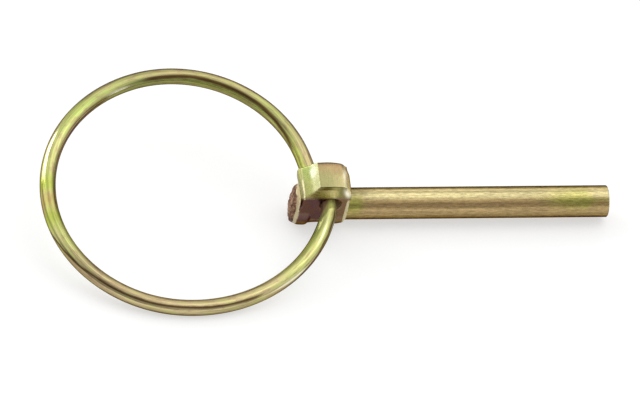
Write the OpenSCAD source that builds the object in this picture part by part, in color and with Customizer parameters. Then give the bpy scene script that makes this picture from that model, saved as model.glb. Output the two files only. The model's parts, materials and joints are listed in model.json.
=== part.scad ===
// Lynch pin: a forged pin with a snap-over ring of spring wire.
// The pin lies along X with its tip towards +X. The origin is on the shank's axis, where the plain shank
// leaves the fillet under the head, and places along the pin are measured from there.
// Everything is drawn upright, with the ring level, and then rolled over to lie on the ground.

/* [Shank] */
// Diameter of the shank
shank_d = 6; // [4.5:0.1:8]
// Length of the plain shank, from the head's fillet to the tip
shank_l = 50; // [36:0.5:90]
// Broken edge round the square-cut tip
tip_chamfer = 0.3; // [0.1:0.05:0.6]

/* [Head] */
// Length of the head's block, from the shank back to its end wall
head_l = 9.3; // [7.7:0.1:12]
// How far each side wall stands out past the shank
wall_step = 0.45; // [0.3:0.05:1.2]
// Metal over the holes, up to where the side walls turn into flanks
wall_over = 0.15; // [0.05:0.05:1]
// Height of the sloped flanks
flank_h = 2.9; // [1.6:0.05:4]
// How far each flank leans in up to the flat top
flank_in = 0.6; // [0.3:0.05:1.4]
// How far the nose slopes back between the end wall and the flat top
nose_run = 2.8; // [1:0.1:4]
// Rounding over the block's front edge, above the shoulder
brow_r = 2; // [0.6:0.1:2.2]
// Rounding of the block's forged edges
forged_r = 0.3; // [0.1:0.05:0.5]

/* [Stub under the block] */
// How far the collar at the sheared end stands out past the shank
collar_step = 0.9; // [0.6:0.05:2]
// How far the collar's middle stands above the shank's axis
collar_rise = 0.4; // [0:0.05:0.5]
// Length of the collar on the block, up to where it starts to narrow
collar_l = 1.4; // [0.4:0.1:2]
// How far the waist between collar and shoulder stands out past the shank
waist_step = 0.4; // [0.3:0.05:0.6]
// How far the shoulder that meets the shank stands out past it
shoulder_step = 0.55; // [0.4:0.05:1]
// How far the sheared end stands out past the block
shear_proud = 1.55; // [1:0.05:2]
// Lean of the sheared face, lower edge furthest out
shear_lean = 7; // [0:0.5:8]
// How far the middle of the sheared face bulges
shear_dome = 0.65; // [0.1:0.05:0.9]
// Bevel rolled round the sheared face, measured across the end
shear_bevel = 0.6; // [0.2:0.05:1]
// Length of that bevel along the collar
shear_bevel_l = 0.8; // [0.2:0.05:1.2]

/* [Ring] */
// Diameter of the spring wire
wire_d = 3; // [2.4:0.1:4]
// Mean radius of the ring, to the middle of the wire
ring_r = 25.6; // [20:0.1:40]
// Gap between the shut ring and the shank it snaps over
ring_gap = 0.3; // [0.1:0.05:1]
// How much flatter the near arm is bent than the ring's mean
near_flex = 3.15; // [0:0.05:5]
// How much tighter the far arm is bent than the ring's mean
far_flex = 1.65; // [0:0.05:3]
// How far round its arm goes before the ring's back, on the near side
near_turn = 76.5; // [70:0.5:84]
// How far round its arm goes before the ring's back, on the far side
far_turn = 95.5; // [88:0.5:104]

/* [Ring ends and their holes] */
// Metal between the near hole and the start of the shank
near_metal = 1.85; // [1:0.05:2.2]
// Metal between the far hole and the end wall
far_metal = 0.4; // [0.3:0.05:1.5]
// Web of metal left between the two holes' bottoms
hole_web = 0.7; // [0.4:0.05:1.5]
// Play of the leaning far end in its hole
hole_play = 0.45; // [0.1:0.05:0.8]
// Gap left between a ring end and the bottom of its hole
end_gap = 0.3; // [0.1:0.05:0.6]
// Gap between the near end and the side of the hole that it bears on
side_gap = 0.05; // [0.02:0.01:0.2]
// Bend that takes the near arm square into its hole
near_bend_r = 8.5; // [5:0.5:12]
// Angle of that bend
near_bend = 19; // [14:0.5:24]
// Lean of the far arm where it enters its hole
far_lean = 12.5; // [9:0.5:14]
// Straight length of the far arm outside its hole
far_straight = 3.4; // [1:0.1:6]

/* [Hidden] */

$fn = 96;
arc_steps = 6;              // flats in each small rounding

shank_r = shank_d / 2;
collar_r = shank_r + collar_step;
waist_r = shank_r + waist_step;
shoulder_r = shank_r + shoulder_step;
collar_ease = 2;            // length of the soft step from collar to waist
shoulder_ease = 1.2;        // length of the soft step from waist to shoulder
shoulder_l = 1.8;           // from the shank back to where the shoulder is full size

// Both holes take the same drill, which lets the leaning far end in.
wire_r = wire_d / 2;
side_y = shank_r + wall_step;
hole_depth = side_y - hole_web / 2;
end_depth = hole_depth - end_gap;
bore_r = (wire_d * cos(far_lean) + end_depth * tan(far_lean) + hole_play) / 2;
near_hole_x = -near_metal - bore_r;
far_hole_x = -head_l + far_metal + bore_r;

ring_h = shank_r + ring_gap + wire_r;
wall_h = ring_h + bore_r + wall_over;
head_h = wall_h + flank_h;
top_y = side_y - flank_in;

front_foot_x = -0.2;        // where the block's front wall ends, just short of the plain shank
front_lean = 0.5;           // how much further back it stands under its rounded brow
front_sink = 0.6;           // how far its foot lies below the top of the shank
tuck_h = 0.2;               // height of the tuck under that foot
tuck_x = -1.3;              // where the tuck runs out, under the block
wall_drop = 0.4;            // how far below the axis the side walls stay upright
foot_turn = 28;             // where they end on the waist, in degrees round it below the axis
foot_sink = 0.01;           // how far inside the waist's surface they end
wall_foot = (waist_r - foot_sink) * [cos(foot_turn), -sin(foot_turn)];

wire_lap = 0.05;            // how far a thinner length of wire runs into the next
wire_hair = 0.01;           // how much thinner it is, in radius

// ---- outlines ----

// A closed outline with rounded corners. Each corner is [x, y, radius], taken anticlockwise or clockwise.
function unit(v) = v / norm(v);
function corner(a, b, c) =
    let (
        p = [b.x, b.y],
        u = unit([a.x, a.y] - p),
        w = unit([c.x, c.y] - p),
        half = acos(u * w) / 2,
        back = b[2] / tan(half),
        middle = p + unit(u + w) * b[2] / sin(half),
        from = p + u * back - middle,
        to = p + w * back - middle,
        side = sign(from.x * to.y - from.y * to.x),
        sweep = 180 - 2 * half
    )
    b[2] == 0 ? [p] : [
        for (i = [0:arc_steps])
            let (t = side * sweep * i / arc_steps)
            middle + [from.x * cos(t) - from.y * sin(t), from.x * sin(t) + from.y * cos(t)]
    ];
function rounded(corners) =
    let (n = len(corners))
    [
        for (i = [0:n - 1])
            for (p = corner(corners[(i + n - 1) % n], corners[i], corners[(i + 1) % n]))
                p
    ];

// A soft step from one radius to another along the stub, as points [radius, x].
function soft_step(r_from, r_to, x_from, length) = [
    for (i = [0:arc_steps])
        let (t = i / arc_steps)
        [r_from + (r_to - r_from) * (1 - cos(180 * t)) / 2, x_from + length * t]
];

// ---- the pin ----

// The collar narrows to below the waist's surface. It starts past the sheared face.
module collar() {
    start_x = -head_l - shear_proud - collar_r;
    outline = concat(
        [[0, start_x]],
        [[collar_r, start_x]],
        soft_step(collar_r, waist_r - 2 * collar_rise, collar_l - head_l, collar_ease),
        [[0, collar_l + collar_ease - head_l]]
    );
    translate([0, 0, collar_rise])
        rotate([0, 90, 0])
            rotate_extrude()
                polygon(outline);
}

// Waist, shoulder and shank, turned about the X axis from within the collar.
module spine() {
    outline = concat(
        [[0, -head_l]],
        [[waist_r, -head_l]],
        soft_step(waist_r, shoulder_r, -shoulder_l - shoulder_ease, shoulder_ease),
        [
            for (i = [0:arc_steps])
                let (a = 90 * i / arc_steps)
                [shoulder_r - shoulder_step * sin(a), -shoulder_step * cos(a)]
        ],
        [[shank_r, shank_l - tip_chamfer]],
        [[shank_r - tip_chamfer, shank_l]],
        [[0, shank_l]]
    );
    rotate([0, 90, 0])
        rotate_extrude()
            polygon(outline);
}

// What the shearing blade leaves: a slightly domed, leaning end with a rolled bevel, open towards +X.
module shear_limit() {
    face_r = collar_r - shear_bevel;
    dome_r = (face_r * face_r + shear_dome * shear_dome) / (2 * shear_dome);
    clear_r = 4 * collar_r;
    clear_x = 2 * (head_l + shank_l);
    outline = concat(
        [
            for (i = [0:arc_steps])
                let (a = asin(face_r / dome_r) * i / arc_steps)
                [dome_r * sin(a), dome_r * (1 - cos(a))]
        ],
        [[face_r + 2 * shear_bevel, shear_dome + 2 * shear_bevel_l]],
        [[clear_r, clear_r]],
        [[clear_r, clear_x]],
        [[0, clear_x]]
    );
    translate([-head_l - shear_proud, 0, collar_rise])
        rotate([0, 90 - shear_lean, 0])
            rotate_extrude()
                polygon(outline);
}

// The block seen from the side: end wall, sloped nose, flat top, rounded brow and front wall.
module side_profile() {
    front_foot = shank_r - front_sink;
    front_x = front_foot_x - front_lean;
    polygon(rounded([
        [-head_l, wall_foot.y, 0],
        [-head_l, wall_h, forged_r],
        [-head_l + nose_run, head_h, forged_r],
        [front_x, head_h, brow_r],
        [front_foot_x, front_foot, 0],
        [front_x, front_foot - tuck_h, 0],
        [tuck_x, wall_foot.y, 0]
    ]));
}

// The block seen from the end: upright walls and flanks that lean in to the flat top.
module end_profile() {
    polygon(rounded([
        [wall_foot.x, wall_foot.y, 0],
        [side_y, -wall_drop, 0],
        [side_y, wall_h, forged_r],
        [top_y, head_h, forged_r],
        [-top_y, head_h, forged_r],
        [-side_y, wall_h, forged_r],
        [-side_y, -wall_drop, 0],
        [-wall_foot.x, wall_foot.y, 0]
    ]));
}

module block() {
    intersection() {
        rotate([90, 0, 0])
            linear_extrude(height = 4 * side_y, center = true)
                side_profile();
        rotate([90, 0, 90])
            linear_extrude(height = 4 * head_l, center = true)
                end_profile();
    }
}

// A blind hole from one side wall: side is -1 for the near wall and 1 for the far one.
module ring_hole(x, side) {
    translate([x, side * hole_web / 2, ring_h])
        rotate([-90 * side, 0, 0])
            cylinder(r = bore_r, h = 2 * side_y);
}

module upright_pin() {
    difference() {
        union() {
            intersection() {
                collar();
                shear_limit();
            }
            spine();
            block();
        }
        ring_hole(near_hole_x, -1);
        ring_hole(far_hole_x, 1);
    }
}

// ---- the ring ----
// The wire's centreline is a chain of arcs that all bend the same way. A place on it is [x, y, heading].

function ahead(place, distance) = [
    place.x + distance * cos(place[2]),
    place.y + distance * sin(place[2]),
    place[2]
];
function arc_middle(place, r) = [place.x + r * sin(place[2]), place.y - r * cos(place[2])];
function round_by(place, r, turn) =
    let (m = arc_middle(place, r), heading = place[2] - turn)
    [m.x - r * sin(heading), m.y + r * cos(heading), heading];

// The arc that leaves a place along its heading and reaches a point, as [radius, turn].
function arc_to(place, point) =
    let (
        v = [point.x - place.x, point.y - place.y],
        forward = v * [cos(place[2]), sin(place[2])],
        sideways = v * [sin(place[2]), -cos(place[2])],
        turn = 2 * atan2(sideways, forward)
    )
    [norm(v) / (2 * sin(turn / 2)), turn];

// Where the ring's ends stand in their holes. The near end bears on the hole's back, away from the shank.
// The far end leans across its hole, from the back of the mouth towards the front of the bottom. Its deeper
// edge is as far from the bottom as the near end is.
near_x = near_hole_x - bore_r + side_gap + wire_r;
far_in = end_depth / cos(far_lean) - wire_r * tan(far_lean);
far_x = far_hole_x - (far_in * sin(far_lean) + wire_r * cos(far_lean) - wire_r / cos(far_lean)) / 2;

near_mouth = [near_x, -side_y, -90];
near_arm = round_by(near_mouth, near_bend_r, near_bend);
near_arc_r = ring_r + near_flex;
near_back = round_by(near_arm, near_arc_r, near_turn);

// The far arm is followed backwards, from its hole out.
far_mouth = [far_x, side_y, -90 + far_lean];
far_arm = ahead(far_mouth, -far_straight);
far_arc_r = ring_r - far_flex;
far_back = round_by(far_arm, far_arc_r, -far_turn);

// Two arcs close the ring's back, and meet where their tangents agree.
start_way = [cos(near_back[2]), sin(near_back[2])];
end_way = [cos(far_back[2]), sin(far_back[2])];
span = [far_back.x - near_back.x, far_back.y - near_back.y];
both = start_way + end_way;
spread = 2 * (1 - start_way * end_way);
tangent_l = (sqrt(pow(span * both, 2) + spread * (span * span)) - span * both) / spread;
back_point = ([near_back.x + far_back.x, near_back.y + far_back.y] + tangent_l * (start_way - end_way)) / 2;
back_a = arc_to(near_back, back_point);
back_middle = round_by(near_back, back_a[0], back_a[1]);
back_b = arc_to(back_middle, far_back);

// Every other length of wire is a hair thinner and laps a little way into its neighbours, so that the lengths
// fuse to one solid wire. The two straight ends are such lengths: each runs from its lap to its far end.
module wire_end(place, distance) {
    start = ahead(place, -wire_lap);
    translate([start.x, start.y, 0])
        rotate([0, 90, place[2]])
            cylinder(r = wire_r - wire_hair, h = distance + wire_lap);
}

module wire_arc(place, r, turn, laps) {
    middle = arc_middle(place, r);
    over = laps ? wire_lap / r * 180 / PI : 0;
    translate([middle.x, middle.y, 0])
        rotate([0, 0, place[2] + 90 - turn - over])
            rotate_extrude(angle = turn + 2 * over)
                translate([r, 0])
                    circle(r = laps ? wire_r - wire_hair : wire_r);
}

module upright_ring() {
    translate([0, 0, ring_h]) {
        wire_end([near_x, -side_y, 90], end_depth);
        wire_arc(near_mouth, near_bend_r, near_bend, false);
        wire_arc(near_arm, near_arc_r, near_turn, true);
        wire_arc(near_back, back_a[0], back_a[1], false);
        wire_arc(back_middle, back_b[0], back_b[1], true);
        wire_arc(far_back, far_arc_r, far_turn, false);
        wire_end(far_arm, far_straight + far_in);
    }
}

// ---- how it lies ----
// The pin rolls on its shoulder or collar until the ring's near side comes down level with its underside.

low_r = max(shoulder_r, collar_r - collar_rise);
near_side_y = near_arc_r - arc_middle(near_arm, near_arc_r).y;
lie_reach = norm([ring_h, near_side_y]);
lie_roll = acos((wire_r - low_r) / lie_reach) - atan2(near_side_y, ring_h);

module as_it_lies() {
    rotate([lie_roll, 0, 0])
        children();
}

module pin() {
    color("#b5a05f")
        as_it_lies()
            upright_pin();
}

module spring_ring() {
    color("#a9a648")
        as_it_lies()
            upright_ring();
}

pin();
spring_ring();
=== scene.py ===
"""A lynch pin and its snap-over ring: the camera, the studio, the shapes that show and their plating."""
import json
import math

import bpy
from mathutils import Matrix, Vector, kdtree, noise


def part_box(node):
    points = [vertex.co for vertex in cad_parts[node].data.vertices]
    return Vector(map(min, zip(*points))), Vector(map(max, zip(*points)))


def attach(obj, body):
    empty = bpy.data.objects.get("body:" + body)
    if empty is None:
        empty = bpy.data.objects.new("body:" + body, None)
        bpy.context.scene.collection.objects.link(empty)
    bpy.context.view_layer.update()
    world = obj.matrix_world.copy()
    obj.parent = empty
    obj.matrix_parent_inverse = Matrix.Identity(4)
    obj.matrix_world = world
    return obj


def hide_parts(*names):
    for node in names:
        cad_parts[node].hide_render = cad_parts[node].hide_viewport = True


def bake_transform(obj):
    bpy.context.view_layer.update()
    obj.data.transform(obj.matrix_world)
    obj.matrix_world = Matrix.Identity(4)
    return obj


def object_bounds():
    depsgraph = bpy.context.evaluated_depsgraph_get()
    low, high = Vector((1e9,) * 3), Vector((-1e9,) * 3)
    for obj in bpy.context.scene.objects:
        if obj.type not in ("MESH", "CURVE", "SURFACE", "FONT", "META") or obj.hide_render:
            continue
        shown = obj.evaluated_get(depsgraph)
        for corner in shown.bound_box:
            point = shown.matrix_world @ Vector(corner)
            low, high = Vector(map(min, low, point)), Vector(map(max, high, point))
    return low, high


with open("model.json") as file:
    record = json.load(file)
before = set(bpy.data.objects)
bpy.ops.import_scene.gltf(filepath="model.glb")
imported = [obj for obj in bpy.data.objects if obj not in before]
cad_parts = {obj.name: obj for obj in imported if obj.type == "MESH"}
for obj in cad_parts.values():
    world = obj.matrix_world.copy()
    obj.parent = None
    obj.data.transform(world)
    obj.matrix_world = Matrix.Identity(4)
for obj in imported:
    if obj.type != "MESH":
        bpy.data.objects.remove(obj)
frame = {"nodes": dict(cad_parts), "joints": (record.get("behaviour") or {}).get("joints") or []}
cad_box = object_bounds()

MM = 0.001
swing = frame["joints"][0]["axis"]
LIE_ROLL = math.atan2(swing[2], swing[1])           # how far the pin lies rolled over
LYING = Matrix.Rotation(LIE_ROLL, 4, "X") @ Matrix.Scale(MM, 4)   # upright millimetres to where it lies

# Driving sizes, upright, in millimetres. The shank lies along x, and x is 0 where it leaves the head.
SHANK_R = 3.0
SHANK_L = round(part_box("pin")[1].x / MM, 3)
TIP_BREAK = 0.12                                    # the broken edge at the tip
HEAD_L = 9.3                                        # the block, back to its end wall
WALL_STEP = 0.45                                    # how far a side wall stands out past the shank
WALL_OVER = 0.15                                    # metal over the holes, up to the flanks
FLANK_H = 2.9                                       # height of the flanks
FLANK_IN = 0.6                                      # how far they lean in up to the flat top
SHEAR_PROUD = 1.55                                  # how far the sheared end stands out past the block
SHEAR_RISE = 0.4                                    # its middle, above the shank's axis
SHEAR_R = 3.3                                       # radius of its torn face, inside the rolled bevel
SHEAR_LEAN = 7.0                                    # its lean in degrees, lower edge furthest out
SHEAR_SLANT = 0.26                                  # and how much further out its near foot is torn
WIRE_R = 1.5
RING_R = 25.6                                       # mean radius, to the middle of the wire
RING_GAP = 0.3                                      # between the shut ring and the shank
HALF_WEB = 0.35                                     # half the metal between the holes' bottoms
NEAR_METAL = 1.85                                   # metal between the near hole and the shank
FAR_METAL = 0.4                                     # metal between the far hole and the end wall
END_GAP = 0.3                                       # from each end of the wire to the bottom of its hole
SIDE_GAP = 0.05                                     # from the near end to the side it bears on
HOLE_PLAY = 0.45                                    # play of the leaning far end
NEAR_BEND = (8.5, 19.0)                             # radius and angle of the bend that takes the wire in
NEAR_FLEX = 3.15                                    # how much flatter the near arm is than the ring's mean
NEAR_TURN = 76.5                                    # how far round the near arm goes, in degrees
FAR_FLEX = 1.65                                     # how much tighter the far arm is
FAR_TURN = 95.5                                     # how far round that arm goes
FAR_LEAN = 12.5                                     # lean of the far end in its hole
FAR_STRAIGHT = 3.4                                  # straight length outside that hole

# What follows from them.
END_WALL_X = -HEAD_L
WALL_Y = SHANK_R + WALL_STEP
RING_Z = SHANK_R + RING_GAP + WIRE_R
END_IN = WALL_Y - HALF_WEB - END_GAP                # how far the near end goes into its hole
lean_cos, lean_tan = math.cos(math.radians(FAR_LEAN)), math.tan(math.radians(FAR_LEAN))
FAR_IN = END_IN / lean_cos - WIRE_R * lean_tan      # and how far the leaning far end goes
BORE_R = (2 * WIRE_R * lean_cos + END_IN * lean_tan + HOLE_PLAY) / 2
NEAR_HOLE_X = -NEAR_METAL - BORE_R
FAR_HOLE_X = END_WALL_X + FAR_METAL + BORE_R
WALL_TOP = RING_Z + BORE_R + WALL_OVER
FLANK_SLOPE = FLANK_IN / FLANK_H
FLANK_OUT = WALL_Y + FLANK_SLOPE * WALL_TOP         # the near flank is where z * slope - y is this
SHEAR_TIP = Vector((END_WALL_X - SHEAR_PROUD, 0, SHEAR_RISE))     # middle of the sheared face
SHEAR_AXIS = Vector((math.cos(math.radians(SHEAR_LEAN)), 0, math.sin(math.radians(SHEAR_LEAN))))
NEAR_FOOT = Vector((0, -0.84, -0.54))               # the way to the foot of that face


# ---------------------------------------------------------------- small helpers

def only(obj):
    """Leaves obj as the one selected and active object."""
    bpy.ops.object.select_all(action="DESELECT")
    obj.select_set(True)
    bpy.context.view_layer.objects.active = obj


def apply_modifier(obj, kind, **settings):
    only(obj)
    modifier = obj.modifiers.new(kind.lower(), kind)
    for name, value in settings.items():
        setattr(modifier, name, value)
    bpy.ops.object.modifier_apply(modifier=modifier.name)


def pick(obj, test):
    """In edit mode afterwards, with just the vertices whose places pass the test selected."""
    only(obj)
    bpy.ops.object.mode_set(mode="EDIT")
    bpy.ops.mesh.select_mode(type="VERT")
    bpy.ops.mesh.select_all(action="DESELECT")
    bpy.ops.object.mode_set(mode="OBJECT")
    for vert in obj.data.vertices:
        vert.select = bool(test(vert.co))
    bpy.ops.object.mode_set(mode="EDIT")


def face_outwards():
    """In edit mode: turns all of the mesh's faces outwards."""
    bpy.ops.mesh.select_all(action="SELECT")
    bpy.ops.mesh.normals_make_consistent(inside=False)


def lay_down(obj):
    """From upright millimetres to its place in the shared frame, with the place in the mesh."""
    only(obj)
    obj.matrix_world = LYING
    bpy.ops.object.transform_apply(location=True, rotation=True, scale=True)


def rising(value, low, high):
    """0 below low, 1 above high, and smooth between."""
    part = min(max((value - low) / (high - low), 0.0), 1.0)
    return part * part * (3 - 2 * part)


def falling(value, low, high):
    return 1 - rising(value, low, high)


def near(value, middle, half):
    """1 where value is at middle, fading to 0 beyond half."""
    return math.exp(-((value - middle) / half) ** 2)


# ---------------------------------------------------------------- camera

VIEW_RIGHT = Vector((0.983, -0.106, 0.150))         # which way the view's right and top lie, upright
VIEW_UP = Vector((0.009, 0.8435, 0.537))
VIEW_WIDTH = 119.8                                  # how much the view takes in at the pin
VIEW_ASIDE, VIEW_ABOVE, VIEW_BACK = -4.399, 0.557, -0.3   # its middle: along right, up and x


def stand_camera():
    """A long lens that looks down over the pin from the front left, turned so that the shank lies level."""
    rolled = Matrix.Rotation(LIE_ROLL, 3, "X")
    right = (rolled @ VIEW_RIGHT).normalized()
    back = right.cross(rolled @ VIEW_UP).normalized()
    up = back.cross(right)
    target = (right * VIEW_ASIDE + up * VIEW_ABOVE + Vector((VIEW_BACK, 0, 0))) * MM
    data = bpy.data.cameras.new("camera")
    data.lens = 600
    data.sensor_width = 36
    data.clip_start, data.clip_end = 0.1, 100
    camera = bpy.data.objects.new("camera", data)
    bpy.context.scene.collection.objects.link(camera)
    place = target + back * (VIEW_WIDTH * MM * data.lens / data.sensor_width)
    camera.matrix_world = Matrix.Translation(place) @ Matrix((right, up, back)).transposed().to_4x4()
    bpy.context.scene.camera = camera


stand_camera()


# ---------------------------------------------------------------- shader maths

class Value:
    """A number somewhere in a node tree. Arithmetic with it adds Math nodes."""

    def __init__(self, tree, socket):
        self.tree, self.socket = tree, socket

    def sibling(self, out):
        """Another output of the same node."""
        return Value(self.tree, self.socket.node.outputs[out])

    def __add__(self, other):
        return self.tree.maths("ADD", self, other)

    def __sub__(self, other):
        return self.tree.maths("SUBTRACT", self, other)

    def __rsub__(self, other):
        return self.tree.maths("SUBTRACT", other, self)

    def __mul__(self, other):
        return self.tree.maths("MULTIPLY", self, other)

    def __truediv__(self, other):
        return self.tree.maths("DIVIDE", self, other)

    def __rtruediv__(self, other):
        return self.tree.maths("DIVIDE", other, self)

    def __neg__(self):
        return self.tree.maths("MULTIPLY", self, -1)

    __radd__ = __add__
    __rmul__ = __mul__


class Tree:
    """Builds one material's or the world's nodes."""

    def __init__(self, owner):
        owner.use_nodes = True
        self.nodes, self.links = owner.node_tree.nodes, owner.node_tree.links

    def node(self, kind, settings=None, inputs=None, out=0):
        """Adds a node: its settings first, then values or links for its sockets. Gives back one output."""
        node = self.nodes.new(kind)
        for name, value in (settings or {}).items():
            if name == "stops":
                self.set_stops(node.color_ramp, value)
            else:
                setattr(node, name, value)
        for name, value in (inputs or {}).items():
            self.feed(node.inputs[name], value)
        return Value(self, node.outputs[out])

    def set_stops(self, ramp, stops):
        ramp.interpolation = "EASE"
        while len(ramp.elements) < len(stops):
            ramp.elements.new(1)
        for element, (place, level) in zip(ramp.elements, stops):
            element.position = place
            element.color = (level, level, level, 1)

    def feed(self, socket, value):
        if isinstance(value, Value):
            self.links.new(value.socket, socket)
        elif isinstance(value, tuple) and socket.type == "RGBA":
            socket.default_value = (*value, 1)
        else:
            socket.default_value = value

    def maths(self, operation, *inputs):
        return self.node("ShaderNodeMath", {"operation": operation}, dict(enumerate(inputs)))

    def vector(self, operation, inputs, out=0):
        return self.node("ShaderNodeVectorMath", {"operation": operation}, inputs, out)

    def between(self, value, low, high, start, end):
        """start below low, end above high, and smooth between."""
        places = {"Value": value, 1: low, 2: high, 3: start, 4: end}
        return self.node("ShaderNodeMapRange", {"interpolation_type": "SMOOTHSTEP"}, places)

    def rising(self, value, low, high):
        return self.between(value, low, high, 0.0, 1.0)

    def falling(self, value, low, high):
        return self.between(value, low, high, 1.0, 0.0)

    def near(self, value, middle, half):
        """1 where value is at middle, fading to 0 beyond half."""
        off = (value - middle) / half
        return self.maths("EXPONENT", -(off * off))

    def levels(self, value, stops):
        """A level that follows value smoothly through the stops, which are places from 0 to 1 and levels."""
        return self.node("ShaderNodeValToRGB", {"stops": stops}, {"Fac": value}, out="Color")


class Finish(Tree):
    """A material and its shader. Its patterns follow self.where, in millimetres."""

    def __init__(self, name):
        self.material = bpy.data.materials.new(name)
        super().__init__(self.material)
        self.shader = self.nodes["Principled BSDF"]

    def surface(self, values):
        """Gives the shader's sockets their values or links."""
        for name, value in values.items():
            self.feed(self.shader.inputs[name], value)

    def noise(self, stretch, detail=2.0, rough=0.5, shift=0.0):
        """Noise from about 0 to 1 whose lumps are about one over stretch across."""
        at = self.vector("MULTIPLY_ADD", {0: self.where, 1: stretch, 2: (shift, shift, shift)})
        return self.node("ShaderNodeTexNoise", {}, {
            "Vector": at, "Scale": 1.0, "Detail": detail, "Roughness": rough})

    def ripple(self, grain, half, amount):
        """A level round 0, from a noise round 0.5. Amount is how far its highest is from its lowest."""
        return self.between(grain, 0.5 - half, 0.5 + half, -amount / 2, amount / 2)

    def mix(self, mask, a, b):
        """Colour a where mask is 0, colour b where it is 1."""
        return self.node("ShaderNodeMix", {"data_type": "RGBA"}, {0: mask, 6: a, 7: b}, out=2)

    def shade(self, colour, factor):
        """A colour made lighter or darker by a number."""
        return self.vector("SCALE", {0: colour, "Scale": factor})

    def bump(self, strength, depth, height):
        """The surface's lean where height rises and falls, depth in millimetres."""
        return self.node("ShaderNodeBump", {}, {
            "Strength": strength, "Distance": depth * MM, "Height": height})


def tint(*levels):
    """A colour as a paint chart gives it, red, green and blue from 0 to 255, as the shader wants it."""
    return tuple(((level / 255 + 0.055) / 1.055) ** 2.4 for level in levels)


# ---------------------------------------------------------------- studio

ROOM_LIGHT = 0.6
# Azimuth, elevation and spread in degrees, then the light added or the share of it taken away.
GLOWS = ((109, 52, 24, 1.73), (-101, 37, 21, 0.67))
DIM_PARTS = (
    (-35, 43, 19, 0.88), (-75, 12, 11, 0.64), (27, 28, 11, 0.52),
    (60, 55, 9, 0.31), (120, 21, 20, 0.55), (134, 57, 10, 0.37),
)
ROOM_LEVEL = 1.08
FLOOR_GREY = 0.5
FLOOR_GLOW = 0.55                                   # how bright the floor shows and is mirrored
FLOOR_GAP = 0.02 * MM                               # between the floor and the part


def toward(azimuth, elevation):
    """A direction: azimuth is 0 to the front and grows to the right, in degrees."""
    turn, rise = math.radians(azimuth), math.radians(elevation)
    return Vector((math.sin(turn) * math.cos(rise), -math.cos(turn) * math.cos(rise), math.sin(rise)))


def light_room():
    """Even light all round, with soft bright and dim parts."""
    world = bpy.data.worlds.new("studio")
    bpy.context.scene.world = world
    room = Tree(world)
    way = room.node("ShaderNodeTexCoord", out="Generated")

    def glow(azimuth, elevation, spread):
        """1 at a direction, fading softly over spread degrees round it."""
        aim = room.vector("DOT_PRODUCT", {0: way, 1: toward(azimuth, elevation)}, out="Value")
        return room.maths("EXPONENT", (aim - 1) / math.radians(spread) ** 2)

    light = ROOM_LIGHT
    for azimuth, elevation, spread, level in GLOWS:
        light = light + level * glow(azimuth, elevation, spread)
    for azimuth, elevation, spread, loss in DIM_PARTS:
        light = light * (1 - loss * glow(azimuth, elevation, spread))
    background = room.nodes["Background"]
    room.feed(background.inputs["Strength"], light * ROOM_LEVEL)
    room.feed(background.inputs["Color"], (1, 1, 1))


def lay_floor():
    """A pale floor, which metal mirrors as pale as it looks."""
    bpy.ops.object.select_all(action="DESELECT")
    bpy.ops.mesh.primitive_plane_add(size=12, location=(0, 0, cad_box[0].z - FLOOR_GAP))
    floor = bpy.context.object
    floor.name = "floor"
    card = Finish("pale_floor")
    seen = card.node("ShaderNodeLightPath", out="Is Camera Ray")
    shown = seen + seen.sibling("Is Glossy Ray") + seen.sibling("Is Transmission Ray")
    card.surface({
        "Base Color": (FLOOR_GREY, FLOOR_GREY, FLOOR_GREY), "Roughness": 0.9,
        "Emission Color": (1, 1, 1), "Emission Strength": shown * FLOOR_GLOW})
    floor.data.materials.append(card.material)


def stand_window(azimuth, elevation, wide, high, level):
    """A tall window of light, a metre from the pin and facing it."""
    lamp = bpy.data.lights.new("tall_window", "AREA")
    lamp.shape = "RECTANGLE"
    lamp.size, lamp.size_y = wide, high
    lamp.energy = level * math.pi * wide * high
    holder = bpy.data.objects.new("tall_window", lamp)
    bpy.context.scene.collection.objects.link(holder)
    way_out = toward(azimuth, elevation)
    holder.location = way_out
    holder.rotation_euler = way_out.to_track_quat("Z", "Y").to_euler()


bpy.context.scene.view_settings.view_transform = "Standard"
light_room()
lay_floor()
stand_window(azimuth=-136, elevation=22, wide=0.36, high=0.75, level=2.4)


# ---------------------------------------------------------------- the ring's wire

# A place on the wire's middle is x, y and the heading in degrees. A leg is a length and 0, or an arc's radius
# and angle, and every arc turns clockwise.
WIRE_SIDES = 40
ARM_STEP, BOW_STEP = 0.35, 0.7                      # length of the faces along the wire
ROUTE_STEP = 0.1                                    # between the places that the plating is measured from
NEAR_SPLIT = 31.0                                   # degrees of the near arc that belong to the near arm
FAR_SPLIT = 77.0                                    # degrees of the far arc that belong to the bow
CREASE = 40                                         # edges sharper than this stay sharp, in degrees


def arc_middle(place, radius):
    x, y, heading = place
    turn = math.radians(heading)
    return Vector((x + radius * math.sin(turn), y - radius * math.cos(turn), RING_Z))


def round_by(place, radius, angle):
    middle = arc_middle(place, radius)
    heading = place[2] - angle
    turn = math.radians(heading)
    return (middle.x - radius * math.sin(turn), middle.y + radius * math.cos(turn), heading)


def way_of(place):
    turn = math.radians(place[2])
    return Vector((math.cos(turn), math.sin(turn)))


def ahead(place, distance):
    way = way_of(place)
    return (place[0] + distance * way.x, place[1] + distance * way.y, place[2])


def arc_to(place, point):
    """The arc that leaves a place along its heading and reaches a point, as its radius and angle."""
    reach = Vector(point[:2]) - Vector(place[:2])
    way = way_of(place)
    angle = 2 * math.atan2(reach.x * way.y - reach.y * way.x, reach.dot(way))
    return reach.length / (2 * math.sin(angle / 2)), math.degrees(angle)


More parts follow.
